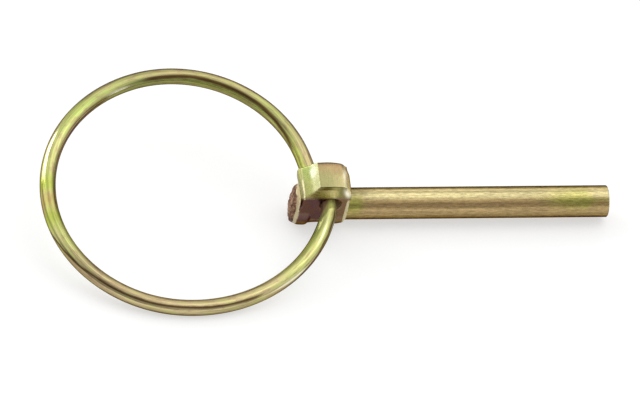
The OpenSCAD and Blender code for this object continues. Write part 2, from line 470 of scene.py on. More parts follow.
def close_back(start, end):
    """The two arcs that close the ring's back between two places, and meet where their tangents agree."""
    span = Vector(end[:2]) - Vector(start[:2])
    both, apart = way_of(start) + way_of(end), way_of(start) - way_of(end)
    spread = apart.dot(apart)
    tangent = (math.sqrt(span.dot(both) ** 2 + spread * span.dot(span)) - span.dot(both)) / spread
    meeting = (Vector(start[:2]) + Vector(end[:2]) + tangent * apart) / 2
    first = arc_to(start, meeting)
    return first, arc_to(round_by(start, *first), end)


def leg_length(leg):
    size, angle = leg
    return size * math.radians(angle) if angle else size


def along_leg(place, leg, part=1.0):
    """The place that is a part of the way along a leg."""
    size, angle = leg
    return round_by(place, size, angle * part) if angle else ahead(place, size * part)


# The near arm is followed from its hole out.
near_arc_r = RING_R + NEAR_FLEX
near_mouth = (NEAR_HOLE_X - BORE_R + SIDE_GAP + WIRE_R, -WALL_Y, -90.0)
near_start = ahead(near_mouth, -END_IN)
near_arm = round_by(near_mouth, *NEAR_BEND)
bow_start = round_by(near_arm, near_arc_r, NEAR_SPLIT)
near_back = round_by(near_arm, near_arc_r, NEAR_TURN)

# The far arm is followed backwards, from its hole out. Its end leans from the back of the hole's mouth to the
# front of its bottom.
far_arc_r = RING_R - FAR_FLEX
far_sway = lean_cos * (FAR_IN * lean_tan + WIRE_R) - WIRE_R / lean_cos
far_mouth = (FAR_HOLE_X - far_sway / 2, WALL_Y, -90.0 + FAR_LEAN)
far_back = round_by(ahead(far_mouth, -FAR_STRAIGHT), far_arc_r, -FAR_TURN)
bow_end = round_by(far_back, far_arc_r, FAR_SPLIT)

# Each piece of the wire: where it starts, the length of its faces, and its legs.
WIRE_PIECES = {
    "ring_near_arm": (near_start, ARM_STEP, (
        (END_IN, 0), NEAR_BEND, (near_arc_r, NEAR_SPLIT))),
    "ring_bow": (bow_start, BOW_STEP, (
        (near_arc_r, NEAR_TURN - NEAR_SPLIT), *close_back(near_back, far_back), (far_arc_r, FAR_SPLIT))),
    "ring_far_arm": (bow_end, ARM_STEP, (
        (far_arc_r, FAR_TURN - FAR_SPLIT), (FAR_STRAIGHT + FAR_IN, 0))),
}


def bend_wire(name, start, step, legs):
    """Draws a round of wire out along its straights and spins it round its bends."""
    bpy.ops.object.select_all(action="DESELECT")
    bpy.ops.mesh.primitive_circle_add(
        vertices=WIRE_SIDES, radius=WIRE_R, fill_type="NOTHING",
        location=(start[0], start[1], RING_Z), rotation=(math.pi / 2, 0, math.radians(start[2] + 90)))
    wire = bpy.context.object
    wire.name = wire.data.name = name
    bpy.ops.object.transform_apply(location=True, rotation=True, scale=True)
    bpy.ops.object.mode_set(mode="EDIT")
    bpy.ops.mesh.select_all(action="SELECT")
    place = start
    for leg in legs:
        size, angle = leg
        count = max(2, round(leg_length(leg) / step))
        if angle:
            # spin turns clockwise about this axis
            bpy.ops.mesh.spin(
                steps=count, angle=math.radians(angle), center=arc_middle(place, size), axis=(0, 0, 1))
        else:
            reach = way_of(place) * (size / count)
            for _ in range(count):
                bpy.ops.mesh.extrude_region_move(TRANSFORM_OT_translate={"value": (*reach, 0)})
        place = along_leg(place, leg)
    bpy.ops.mesh.select_all(action="SELECT")
    bpy.ops.mesh.remove_doubles(threshold=0.001)
    bpy.ops.mesh.select_all(action="DESELECT")
    bpy.ops.mesh.select_non_manifold()
    bpy.ops.mesh.fill_holes(sides=0)
    face_outwards()
    bpy.ops.object.mode_set(mode="OBJECT")
    bpy.ops.object.shade_smooth_by_angle(angle=math.radians(CREASE))
    return wire


def wire_route():
    """Places along the whole wire: how far along, the middle, and the way out from the ring's eye."""
    places, along = [], -END_IN
    place = near_start
    for _, _, legs in WIRE_PIECES.values():
        for leg in legs:
            length = leg_length(leg)
            count = round(length / ROUTE_STEP)
            for i in range(count):
                spot = along_leg(place, leg, i / count)
                way = way_of(spot)
                middle, way_out = Vector((spot[0], spot[1], RING_Z)), Vector((-way.y, way.x, 0))
                places.append((along + length * i / count, middle, way_out))
            place = along_leg(place, leg)
            along += length
    return places


route = wire_route()
route_tree = kdtree.KDTree(len(route))
for index, (_, middle, _) in enumerate(route):
    route_tree.insert(middle, index)
route_tree.balance()


def mark_wire(wire):
    """Gives each vertex its place on the wire, for the plating: millimetres along, outward and up."""
    marks = []
    for vert in wire.data.vertices:
        _, index, _ = route_tree.find(Vector((vert.co.x, vert.co.y, RING_Z)))
        along, middle, way_out = route[index]
        off = vert.co - middle
        marks.extend((along, off.dot(way_out), off.z))
    layer = wire.data.attributes.new("wire", "FLOAT_VECTOR", "POINT")
    layer.data.foreach_set("vector", marks)


wires = {}
for name, piece in WIRE_PIECES.items():
    wires[name] = bend_wire(name, *piece)
    mark_wire(wires[name])
    lay_down(wires[name])


# ---------------------------------------------------------------- the pin

STUB_X = 1.2                                        # where the head ends while it is worked
HEAD_CUT_X = 0.35                                   # where it ends when the bar is joined on
BAR_START_X = 0.6                                   # where the bar starts
BAR_SIDES = 96
SKIN = 0.12                                         # size of the faces on the worked head
HEAD_CREASE = 35

# How far the hammer and the shear push the head's skin.
CROWN_UP = 0.2
BROW_OUT = 0.28
TUCK_IN = 0.26
CORNER_IN = 0.26
CORNER_DOWN = 0.3
BULGE_OUT = 0.42
SWELL_OUT = 0.12
SWELL_DOWN = 0.25
RIDGE_DEPTH = 0.3
GRIT_DEPTH = 0.12
RIM_DEPTH = 0.16


def forge_head():
    """The forged head, from a copy of the construction: an even skin for the hammer's and shear's marks."""
    mesh = frame["nodes"]["pin"].data.copy()
    head = bpy.data.objects.new("pin_head", mesh)
    bpy.context.scene.collection.objects.link(head)
    mesh.materials.clear()
    mesh.transform(LYING.inverted())
    only(head)
    bpy.ops.mesh.customdata_custom_splitnormals_clear()
    bpy.ops.object.mode_set(mode="EDIT")
    bpy.ops.mesh.select_all(action="SELECT")
    bpy.ops.mesh.remove_doubles(threshold=0.0005)
    bpy.ops.mesh.select_all(action="SELECT")
    bpy.ops.mesh.bisect(plane_co=(STUB_X, 0, 0), plane_no=(1, 0, 0), clear_outer=True, use_fill=True)
    bpy.ops.object.mode_set(mode="OBJECT")
    apply_modifier(head, "REMESH", mode="VOXEL", voxel_size=SKIN, use_smooth_shade=True)
    apply_modifier(head, "SMOOTH", factor=0.5, iterations=6)
    return head


def hammered_top(x, y, z):
    """The top is a little crowned along. Its front stands out, and its far front corner is rounded away."""
    crown = rising(z, 8.6, 9.8) * max(0.0, 1 - ((x + 3.9) / 3.4) ** 2)
    brow = rising(x, -3.2, -1.6) * rising(z, 5.2, 8.0)
    corner = max(0.0, (x + 4.9) / 3.4) ** 2.2 * rising(y, -0.4, 2.8) * rising(z, 7.2, 9.5)
    tucked = rising(x, -2.6, -1.2) * rising(y, 0.9, 2.8) * rising(z, 5.0, 7.5)
    return Vector((
        BROW_OUT * brow - TUCK_IN * tucked,
        -CORNER_IN * corner,
        CROWN_UP * crown - CORNER_DOWN * corner))


def swollen_walls(x, y, z):
    """The end wall bulges on its far side, below the nose. The near wall's lower edge swells at both ends."""
    bulge = falling(x, END_WALL_X, END_WALL_X + 0.3) * near(y, 3.0, 2.4) * near(z, 6.2, 1.8)
    swell = (near(x, -2.1, 1.0) + near(x, -8.2, 1.4)) * falling(y, -3.2, -2.0) * falling(z, -2.2, -0.3)
    return Vector((-BULGE_OUT * bulge, -SWELL_OUT * swell, -SWELL_DOWN * swell))


def sheared_off(place):
    """The shear leaves its end leaning, with the near foot furthest out, upright ridges and a rough rim."""
    x, y, z = place
    from_tip = place - SHEAR_TIP
    lean = SHEAR_SLANT * NEAR_FOOT.dot(from_tip) * falling(x, -9.9, -8.3) * falling(z, 3.7, 4.6)
    deep = from_tip.dot(SHEAR_AXIS)
    radius = (from_tip - SHEAR_AXIS * deep).length
    torn = falling(deep, 1.3, 1.9) * falling(radius, SHEAR_R - 0.15, SHEAR_R + 0.35)
    tear = 0.0
    if torn > 0:
        ridge = noise.noise(Vector((y * 1.9, z * 0.55, 3.1)))
        grit = noise.noise(Vector((y * 4.0, z * 2.2, 9.7)))
        tear = torn * (RIDGE_DEPTH * ridge + GRIT_DEPTH * grit)
    rim = falling(deep, 1.4, 2.6) * rising(radius, SHEAR_R - 0.2, SHEAR_R + 0.4)
    if rim > 0:
        tear += RIM_DEPTH * rim * noise.noise(Vector((y * 0.7, z * 0.7, 1.3)))
    return Vector((-lean - tear, 0, 0))


def work_head(head):
    """Leaves the head as the hammer and the shear do."""
    for vert in head.data.vertices:
        vert.co += hammered_top(*vert.co) + swollen_walls(*vert.co) + sheared_off(vert.co.copy())


def draw_bar():
    """The shank: a drawn bar, open towards the head, with a broken edge at its tip."""
    bpy.ops.object.select_all(action="DESELECT")
    end = SHANK_L - TIP_BREAK
    bpy.ops.mesh.primitive_cylinder_add(
        vertices=BAR_SIDES, radius=SHANK_R, depth=end - BAR_START_X, end_fill_type="NOTHING",
        location=((BAR_START_X + end) / 2, 0, 0), rotation=(0, math.pi / 2, 0))
    bar = bpy.context.object
    bpy.ops.object.transform_apply(location=True, rotation=True, scale=True)
    pick(bar, lambda place: place.x > SHANK_L / 2)
    bpy.ops.mesh.extrude_region_move(TRANSFORM_OT_translate={"value": (TIP_BREAK, 0, 0)})
    shrink = (SHANK_R - TIP_BREAK) / SHANK_R
    bpy.ops.transform.resize(value=(1, shrink, shrink), center_override=(SHANK_L, 0, 0))
    bpy.ops.mesh.extrude_region_move()
    bpy.ops.transform.resize(value=(1, 0.5, 0.5), center_override=(SHANK_L, 0, 0))
    bpy.ops.mesh.edge_face_add()
    bpy.ops.object.mode_set(mode="OBJECT")
    return bar


def join_bar(head, bar):
    """Cuts the head off in its fillet and bridges it to the bar."""
    only(head)
    bpy.ops.object.mode_set(mode="EDIT")
    bpy.ops.mesh.select_all(action="SELECT")
    bpy.ops.mesh.bisect(plane_co=(HEAD_CUT_X, 0, 0), plane_no=(1, 0, 0), clear_outer=True, use_fill=False)
    bpy.ops.object.mode_set(mode="OBJECT")
    bar.select_set(True)
    bpy.ops.object.join()
    bpy.ops.object.mode_set(mode="EDIT")
    bpy.ops.mesh.select_mode(type="EDGE")
    bpy.ops.mesh.select_all(action="DESELECT")
    bpy.ops.mesh.select_non_manifold()
    bpy.ops.mesh.bridge_edge_loops()
    face_outwards()
    bpy.ops.object.mode_set(mode="OBJECT")
    bpy.ops.object.shade_smooth_by_angle(angle=math.radians(HEAD_CREASE))
    head.name = head.data.name = "forged_pin"
    return head


head = forge_head()
work_head(head)
pin = join_bar(head, draw_bar())
lay_down(pin)


# ---------------------------------------------------------------- the wire's plating, with painted light and shade

EDGE_TINT = (0.16, 0.09, 0.04)                      # the plating darkens to brown where it is seen edge on
RAMP_LENGTH = 157.0                                 # the wire from the near wall to its far end
LINE_WOBBLE = 12.0                                  # how far a drawn line strays round the wire, in degrees
LINE_FADE = 2.0                                     # how far its ends fade out, in millimetres

STRAW = tint(200, 182, 138)
GREEN = tint(190, 192, 122)
PINK = tint(180, 148, 120)
VIVID_GREEN = tint(166, 178, 78)
OCHRE = tint(178, 164, 92)
BEIGE = tint(198, 174, 136)
LIME = tint(182, 188, 88)
DEEP_GREEN = tint(150, 150, 74)
BARE_PINK = tint(184, 152, 124)
BACK_GREEN = tint(168, 188, 110)
DAB_GREEN = tint(168, 178, 96)
DAB_BROWN = tint(186, 156, 116)
DARK_REFLECTION_BROWN = tint(104, 76, 44)
HIGHLIGHT_CREAM = tint(246, 240, 204)
WALL_SHADE_BROWN = tint(144, 106, 88)

# How green the wire is, from its near wall to its far end.
GREEN_ALONG = (
    (0.00, 0.85), (0.05, 0.9), (0.10, 0.55), (0.16, 0.25), (0.24, 0.1), (0.36, 0.12),
    (0.42, 0.7), (0.46, 0.55), (0.485, 0.2), (0.52, 0.95), (0.56, 0.55), (0.62, 0.85),
    (0.68, 0.75), (0.76, 0.55), (0.84, 0.5), (0.90, 0.6), (0.95, 0.95), (1.0, 0.95),
)
# Patches: millimetres along and half length, then, if it isn't all round, degrees round and half width, and
# strength. Round the wire, 0 is away from the ring's eye and 90 is up.
VIVID_PATCHES = (
    (72.5, 2.2), (79.5, 2.2), (98.0, 5.0, 95.0, 25.0, 0.5), (10.0, 6.0, 120.0, 16.0, 0.6),
    (128.0, 16.0, 148.0, 18.0, 0.7),
)
BARE_PATCHES = ((104.0, 3.0, 66.0, 22.0, 0.6), (116.0, 10.0, 92.0, 18.0, 0.6), (60.0, 5.0, 20.0, 14.0))
BACK_PATCHES = ((100.0, 7.0, 106.0, 20.0), (92.0, 5.0, 78.0, 14.0, 0.7))
# Places painted lighter, as light.
PAINTED_LIGHT_PATCHES = (
    (0.9, 0.8, 72.0, 34.0, 0.55), (80.0, 4.0, 54.0, 16.0, 0.4), (94.5, 4.0, 50.0, 16.0, 0.35),
)
# Painted highlights: bright cream streaks where lamps would be mirrored.
PAINTED_HIGHLIGHTS = ((19.0, 4.0, 33.0, 11.0), (87.5, 6.0, 54.0, 8.0), (107.0, 3.0, 142.0, 9.0, 0.9))
# Painted dark reflections and edge shade, as brown lines: half width in degrees, then the millimetres along
# and degrees round of each place on the line.
DARK_REFLECTION_LINES = (
    (9.0, ((26, 51), (33, 58), (40, 60), (51, 57), (57, 53), (63, 35), (66, 23), (70, 4))),
    (15.0, ((113, 129), (116, 126), (123, 118), (130, 124), (136, 125), (141, 133), (144, 146), (148, 158))),
    (10.0, ((0.5, 46), (8, 34), (14, 16), (20, -4))),
    (9.0, ((96, 32), (103, 44), (115, 54), (130, 58), (145, 51), (150, 43))),
    (9.0, ((74, 127), (85, 146), (95, 160), (104, 164))),
)


class WireFinish(Finish):
    """Plating that knows how far along the wire and how far round it a place is, and its grains."""

    def __init__(self, name):
        super().__init__(name)
        self.where = self.node("ShaderNodeAttribute", {"attribute_name": "wire"}, out="Vector")
        self.along = self.node("ShaderNodeSeparateXYZ", {}, {0: self.where})
        self.outward = self.along.sibling("Y")
        self.up = self.along.sibling("Z")
        self.turned = self.maths("ARCTAN2", self.up, self.outward) * math.degrees(1)
        self.streaks = self.noise((0.06, 2.6, 2.6), detail=3.0, rough=0.6, shift=5.0)
        self.fine = self.noise((0.25, 7.0, 7.0), shift=9.0)
        self.dabs = self.noise((0.5, 1.8, 1.8), detail=3.0, rough=0.6, shift=27.0)

    def patch(self, middle, half, turned=None, spread=None, strength=1.0):
        """Strength at a place on the wire, fading out beyond half, along, and beyond spread, round."""
        mask = self.near(self.along, middle, half) * strength
        if turned is None:
            return mask
        return mask * self.near(self.turned, turned, spread)

    def patches(self, places):
        return sum(self.patch(*place) for place in places)

    def line(self, half, places):
        """1 on a line along the wire, fading out beyond half degrees to each side."""
        stops = tuple((along / RAMP_LENGTH, (turned + 180) / 360) for along, turned in places)
        turned = self.levels(self.along / RAMP_LENGTH, stops) * 360 - (180 - LINE_WOBBLE / 2)
        first, last = places[0][0], places[-1][0]
        window = self.rising(self.along, first - LINE_FADE, first + LINE_FADE) \
            * self.falling(self.along, last - LINE_FADE, last + LINE_FADE)
        return self.near(self.turned + self.dabs * LINE_WOBBLE, turned, half) * window


def wire_ground(wire):
    """Straw and green by turns along the wire, with a little pink."""
    lumps = wire.noise((0.12, 0.55, 0.55), detail=3.0)
    green = wire.rising(lumps + wire.levels(wire.along / RAMP_LENGTH, GREEN_ALONG) * 0.9, 0.6, 1.2)
    pink = wire.rising(wire.noise((0.10, 1.1, 1.1), shift=17.0), 0.55, 0.72)
    return wire.mix(pink * 0.5, wire.mix(green, STRAW, GREEN), PINK)


def wire_greens(wire, colour):
    """Vivid, deep and ochre patches, and the far arm's lime with beige beneath it."""
    colour = wire.mix(wire.patches(VIVID_PATCHES) * (0.5 + wire.dabs * 0.8), colour, VIVID_GREEN)
    colour = wire.mix(wire.patch(76.0, 1.6) * 0.8, colour, OCHRE)
    far_arm = wire.patch(151.0, 6.0)
    colour = wire.mix(far_arm * wire.falling(wire.turned, 96.0, 112.0) * 0.8, colour, BEIGE)
    colour = wire.mix(far_arm * wire.rising(wire.turned, 112.0, 124.0) * 0.7, colour, LIME)
    deep = wire.patch(129.0, 15.0) * wire.rising(wire.turned, 122.0, 138.0)
    return wire.mix(deep * 0.6, colour, DEEP_GREEN)


def wire_wear(wire, colour):
    """Bare pink metal shows through in places, and dabs of green and of brown lie all along."""
    both_sides = wire.rising(wire.turned, 122.0, 140.0) + wire.falling(wire.turned, 28.0, 42.0)
    bare = wire.patches(BARE_PATCHES) + wire.patch(94.0, 9.0) * both_sides
    colour = wire.mix(bare * 0.8, colour, BARE_PINK)
    colour = wire.mix(wire.patches(BACK_PATCHES) * wire.dabs, colour, BACK_GREEN)
    colour = wire.mix(wire.rising(wire.dabs, 0.5, 0.62) * 0.45, colour, DAB_GREEN)
    return wire.mix(wire.falling(wire.dabs, 0.36, 0.46) * 0.4, colour, DAB_BROWN)


def wire_light_and_shade(wire):
    """Painted light and shade: how much lighter or darker the wire is painted from place to place."""
    outer_side = wire.falling(wire.turned, 20.0, 45.0)
    inner_side = wire.rising(wire.turned, 75.0, 95.0)
    painted_shade = (wire.patch(44.0, 20.0) + wire.patch(59.5, 4.0)) * inner_side * 0.22 \
        + wire.patch(143.5, 3.5, 120.0, 24.0, 0.3) \
        + wire.patch(116.0, 18.0) * 0.2 \
        + wire.patch(117.0, 8.0) * wire.rising(wire.turned, 130.0, 146.0) * 0.2 \
        + wire.patch(6.5, 4.0) * wire.rising(wire.turned, 92.0, 104.0) * 0.3
    painted_light = wire.falling(wire.along, 1.0, 4.5) * 0.2 \
        + wire.patches(PAINTED_LIGHT_PATCHES) \
        + (wire.patch(70.0, 9.0) * 0.35 + wire.patch(24.5, 5.0) * 0.22) * outer_side
    return 1.0 + painted_light - painted_shade


def wire_painted_highlights(wire):
    """1 on the painted highlights, bright streaks, the first of which winds round the wire beside the head.
    """
    winding = wire.patch(7.0, 4.5) * wire.near(wire.turned + wire.along * 2.2, 92.0, 10.0) * 0.55
    return wire.rising((wire.patches(PAINTED_HIGHLIGHTS) + winding) * (0.5 + wire.streaks), 0.1, 0.8)


def wire_grain_and_shade(wire):
    """How light the wire's streaks and dabs are, and how much darker its lower side is painted, as shade."""
    shade_below = wire.between(wire.up + wire.ripple(wire.streaks, 0.2, 0.6), 0.35, 1.25, 0.7, 1.0)
    grain = 1.0 + wire.ripple(wire.streaks, 0.18, 0.36) + wire.ripple(wire.fine, 0.2, 0.2) \
        + wire.ripple(wire.dabs, 0.15, 0.2)
    return grain * shade_below


def plated_wire():
    """Yellow zinc over drawn spring wire: green and straw patches, with painted highlights, painted dark
    reflections as fine brown lines along it, and painted shade underneath.
    """
    wire = WireFinish("yellow_zinc_wire")
    colour = wire_wear(wire, wire_greens(wire, wire_ground(wire)))
    # painted light and shade along the wire
    colour = wire.shade(colour, wire_light_and_shade(wire))
    # painted dark reflections and edge shade, as brown lines along the wire
    lines = wire.rising(sum(wire.line(*line) for line in DARK_REFLECTION_LINES), 0.0, 1.0)
    colour = wire.mix(lines * 0.95, colour, DARK_REFLECTION_BROWN)
    # painted highlights, in cream
    colour = wire.mix(wire_painted_highlights(wire), colour, HIGHLIGHT_CREAM)
    # painted shade: beside the head's wall the wire's inner side is painted dark brown, for the wall's shade
    # and its dark reflection
    inner = wire.outward * -0.64 - wire.up * 0.18 - wire.along * 0.27
    beside = wire.rising(inner, -0.25, 0.05) * wire.falling(wire.along, 3.0, 4.0)
    colour = wire.mix(beside * 0.9, colour, WALL_SHADE_BROWN)
    # it is chalky in that painted shade and on the painted dark lines, and a little where the near arm is
    # worn
    worn = wire.falling(wire.along, 4.0, 8.0) * (1 - beside)
    chalky = wire.maths("MAXIMUM", worn * 0.5 + beside * 0.75, lines * 0.5)
    wire.surface({
        "Base Color": wire.shade(colour, wire_grain_and_shade(wire)),
        "Roughness": wire.between(wire.fine, 0.3, 0.7, 0.08, 0.15),
        "Metallic": 1 - chalky,
        "Specular Tint": EDGE_TINT,
        "Normal": wire.bump(0.35, 0.03, wire.fine + wire.streaks * 0.6)})
    return wire.material


# ---------------------------------------------------------------- the forging's plating, with painted light and shade

ACROSS_Y, ACROSS_Z = 0.8435, 0.537                  # the shank's painted light and shade bands are counted across it this way

BAR_STRAW = tint(206, 177, 123)
BAR_GREEN = tint(180, 174, 92)
BAR_HIGHLIGHT_PALE = tint(204, 194, 144)
WALL_SHADE_PLUM = tint(110, 84, 80)
WALL_BROWN = tint(114, 88, 70)
WALL_PURPLE = tint(100, 76, 88)
WALL_FRONT = tint(132, 108, 86)
WALL_FOOT = tint(160, 138, 100)
FAR_WALL_OLIVE = tint(152, 140, 82)
FAR_WALL_BROWN = tint(140, 122, 76)
FLANK_SAND = tint(194, 178, 122)
FLANK_LIGHT = tint(198, 190, 122)
FLANK_FRONT = tint(134, 128, 80)
FAR_FLANK = tint(160, 150, 92)
FAR_FLANK_FRONT = tint(100, 90, 60)
TOP_OLIVE = tint(162, 157, 108)
TOP_TAN = tint(178, 152, 110)
TOP_FAR = tint(148, 120, 86)
TOP_NEAR_FRONT = tint(186, 174, 124)
TOP_EDGE = tint(84, 70, 46)
NOSE_OLIVE = tint(162, 164, 100)
NOSE_GREEN = tint(166, 178, 106)
NOSE_PALE = tint(222, 222, 166)
NOSE_SHINE = tint(244, 246, 214)
RIDGE_CREAM = tint(224, 208, 156)
FOLD_BROWN = tint(96, 84, 40)
BROW_SAND = tint(214, 194, 140)
BROW_CREAM = tint(252, 240, 206)
BROW_SPOT = tint(255, 250, 226)
FRONT_OLIVE = tint(178, 164, 104)
FRONT_CREAM = tint(255, 240, 192)
END_WALL_GREEN = tint(194, 194, 120)
END_WALL_CREAM = tint(248, 240, 190)
RUST = tint(88, 58, 44)
TORN_PINK = tint(206, 164, 134)
TORN_BROWN = tint(132, 94, 74)
TORN_EDGE = tint(84, 60, 44)
RIM_CREAM = tint(255, 238, 196)
BORE_PINK = tint(214, 180, 150)

# Thin lines of painted light and shade along the shank: how far across, half width, strength and colour.
BAR_LIGHT_LINES = (
    (0.905, 0.035, 0.6, tint(204, 176, 122)),
    (0.43, 0.07, 0.6, tint(204, 166, 116)),
    (0.25, 0.05, 0.4, tint(196, 164, 124)),
)
# Painted light and shade: how light the shank is painted, from its lower edge across to its upper one.
BAR_LIGHT_BANDS = (
    (0.0, 0.40), (0.05, 0.5), (0.12, 0.58), (0.19, 0.66), (0.28, 0.74), (0.36, 0.68), (0.45, 0.70),
    (0.52, 0.84), (0.60, 0.92), (0.69, 1.03), (0.77, 1.08), (0.825, 0.76), (0.90, 1.25), (0.96, 0.5),
    (1.0, 0.35),
)


class ForgingFinish(Finish):
    """Plating that knows where on the upright pin a place is, in millimetres, and its grains."""

    def __init__(self, name):
        super().__init__(name)
        place = self.node("ShaderNodeTexCoord", out="Object")
        self.where = self.node("ShaderNodeMapping", {"vector_type": "POINT"}, {
            "Vector": place, "Scale": (1 / MM, 1 / MM, 1 / MM), "Rotation": (-LIE_ROLL, 0, 0)})
        self.x = self.node("ShaderNodeSeparateXYZ", {}, {0: self.where})
        self.y = self.x.sibling("Y")
        self.z = self.x.sibling("Z")
        self.across = self.y * ACROSS_Y + self.z * ACROSS_Z
        self.wander = self.noise((0.8, 0.8, 0.8), detail=3.0) - 0.5
        self.broad = self.noise((0.35, 0.35, 0.35), shift=4.0)
        self.mottle = self.noise((1.6, 1.6, 1.6), detail=3.0, rough=0.6, shift=8.0)
        self.grit = self.noise((6.0, 6.0, 6.0), shift=2.0)
        self.lines = self.noise((0.05, 2.4, 2.4), detail=4.0, rough=0.65, shift=12.0)
        self.dashes = self.noise((0.9, 4.5, 4.5), detail=3.0, shift=22.0)


def bar_green(metal, around):
    """1 where the shank is green: beside the head and towards the tip, and most along its middle."""
    x, wander, dashes = metal.x, metal.wander, metal.dashes
    beside_head = metal.falling(x - wander * 3.0 - dashes, 0.6, 4.8)
    beside_tip = metal.rising(x + wander * 4.0 + dashes * 3.0, 33.0, 46.0) \
        * metal.falling(x - wander * 2.0 - dashes, 44.5, 48.0)
    middle_line = metal.near(around - metal.rising(x, 20.0, 30.0) * 0.1, 0.50, 0.40)
    return metal.rising((beside_head + beside_tip) * middle_line, 0.1, 0.95)


def plated_bar(metal):
    """The shank: drawn lengthwise, straw with green at both ends, and painted light and shade in bands along
    it: a pale painted highlight above, painted shade underneath and a painted shadow beside the head.
    """
    around = (metal.across + metal.wander * 0.3) / (2 * SHANK_R) + 0.5
    green = bar_green(metal, around)
    green_tip = metal.rising(metal.x, 43.5, 46.5) * metal.near(around, 0.50, 0.16) * 0.6
    bar = metal.mix(green + green_tip, BAR_STRAW, BAR_GREEN)
    # painted highlight: a pale band along the upper side
    painted_highlight_band = metal.rising(around, 0.55, 0.68) * (1 - green * 0.6)
    bar = metal.mix(painted_highlight_band * 0.8, bar, BAR_HIGHLIGHT_PALE)
    for middle, half, strength, hue in BAR_LIGHT_LINES:
        bar = metal.mix(metal.near(around, middle, half) * (1 - green) * strength, bar, hue)
    crackle = metal.rising(metal.noise((1.4, 3.2, 3.2), detail=3.0, rough=0.7, shift=52.0), 0.54, 0.64)
    bar = metal.shade(bar, 1.0 - crackle * metal.near(around, 0.74, 0.12) * 0.25)
    # painted shadow: beside the head it is darker above
    painted_head_shadow = metal.falling(metal.x - metal.wander * 2.0, 1.0, 6.0) * metal.rising(around, 0.52, 0.66)
    grain = 1.0 + metal.ripple(metal.lines, 0.2, 0.36) + metal.ripple(metal.dashes, 0.15, 0.34)
    return metal.shade(bar, metal.levels(around, BAR_LIGHT_BANDS) * (1 + green * 0.1) * (1 - painted_head_shadow * 0.40) * grain)


def walls(metal):
    """The upright walls: the near one painted dark brown and plum as shade, lighter at the front and the
    foot, and olive on the far side.
    """
    blotch = metal.rising(metal.mottle, 0.4, 0.7)
    # painted shade: the near wall's dark brown and plum
    side = metal.mix(blotch, WALL_SHADE_PLUM, WALL_BROWN)
    side = metal.mix(metal.rising(metal.broad, 0.45, 0.7) * 0.6, side, WALL_PURPLE)
    side = metal.mix(metal.rising(metal.x + metal.wander, -3.4, -2.2), side, WALL_FRONT)
    side = metal.mix(metal.falling(metal.z - metal.wander, -0.7, 0.5) * 0.9, side, WALL_FOOT)
    return metal.mix(metal.rising(metal.y, 1.0, 2.5), side, metal.mix(blotch, FAR_WALL_OLIVE, FAR_WALL_BROWN))


def flat_top(metal):
    """Olive to tan across, darker towards the far side, lighter at the near front, with a painted dark line
    of shade along the far edge.
    """
    x, y, wander = metal.x, metal.y, metal.wander
    top = metal.mix(metal.rising(y + x * 0.35 + wander * 3.5, -2.6, 0.9), TOP_OLIVE, TOP_TAN)
    top = metal.mix(metal.rising(y + wander * 0.4, 1.6, 2.3) * 0.6, top, TOP_FAR)
    near_front = metal.rising(x + wander * 1.4, -4.6, -2.6) * metal.falling(y - wander * 1.4, -0.9, 0.8)
    top = metal.mix(near_front * 0.8, top, TOP_NEAR_FRONT)
    # painted shade: a dark line along the far edge
    return metal.mix(metal.near(y, 2.72, 0.3), top, TOP_EDGE)


def sloped_nose(metal):
    """Green, pale towards the top, with a painted highlight on its upper far part."""
    x, y, wander = metal.x, metal.y, metal.wander
    nose = metal.mix(metal.rising(y + wander * 3.0, -1.5, 2.5), NOSE_OLIVE, NOSE_GREEN)
    nose = metal.mix(metal.rising(x + wander, -8.2, -7.0) * 0.75, nose, NOSE_PALE)
    shine = metal.near(x, -7.3, 0.65) * metal.near(y, 1.3, 1.6)
    return metal.mix(metal.rising(shine + wander * 0.9, 0.2, 1.0), nose, NOSE_SHINE)


def flanks(metal, upper):
    """The two leaning flanks, with a dark line along the near one's upper edge. Gives back that line too."""
    x, wander = metal.x, metal.wander
    lean = metal.z * FLANK_SLOPE - FLANK_OUT
    near_side, far_side = lean - metal.y, lean + metal.y
    flank = metal.mix(metal.rising(x + wander * 2.0, -7.0, -1.5), FLANK_SAND, FLANK_LIGHT)
    flank = metal.mix(metal.rising(x + wander, -3.6, -2.4), flank, FLANK_FRONT)
    upper = metal.mix(metal.rising(near_side, -0.16, -0.04), upper, flank)
    far_flank = metal.mix(metal.rising(x, -2.6, -1.6), FAR_FLANK, FAR_FLANK_FRONT)
    upper = metal.mix(metal.rising(far_side, -0.14, -0.02), upper, far_flank)
    fold = metal.rising(near_side, -0.2, -0.1) * metal.rising(metal.z + wander * 0.3, 9.2, 9.4)
    return upper, fold * metal.near(x, -5.2, 1.9)


def over_walls(metal):
    """Top, nose and flanks, brushed across, with a painted highlight along the ridge where the nose starts.
    """
    x, wander = metal.x, metal.wander
    sloped = metal.falling(x - wander * 0.15, -6.65, -6.35)
    upper, fold = flanks(metal, metal.mix(sloped, flat_top(metal), sloped_nose(metal)))
    brushed = metal.noise((5.0, 0.5, 1.5), detail=3.0, rough=0.6, shift=41.0)
    upper = metal.shade(upper, 1.0 + metal.ripple(brushed, 0.2, 0.2))
    # painted highlight along the ridge, broken up by the mottle
    ridge = metal.near(x + wander * 0.2, -6.45, 0.1) * metal.rising(metal.mottle, 0.35, 0.65)
    return metal.mix(fold, metal.mix(ridge * 0.5, upper, RIDGE_CREAM), FOLD_BROWN)


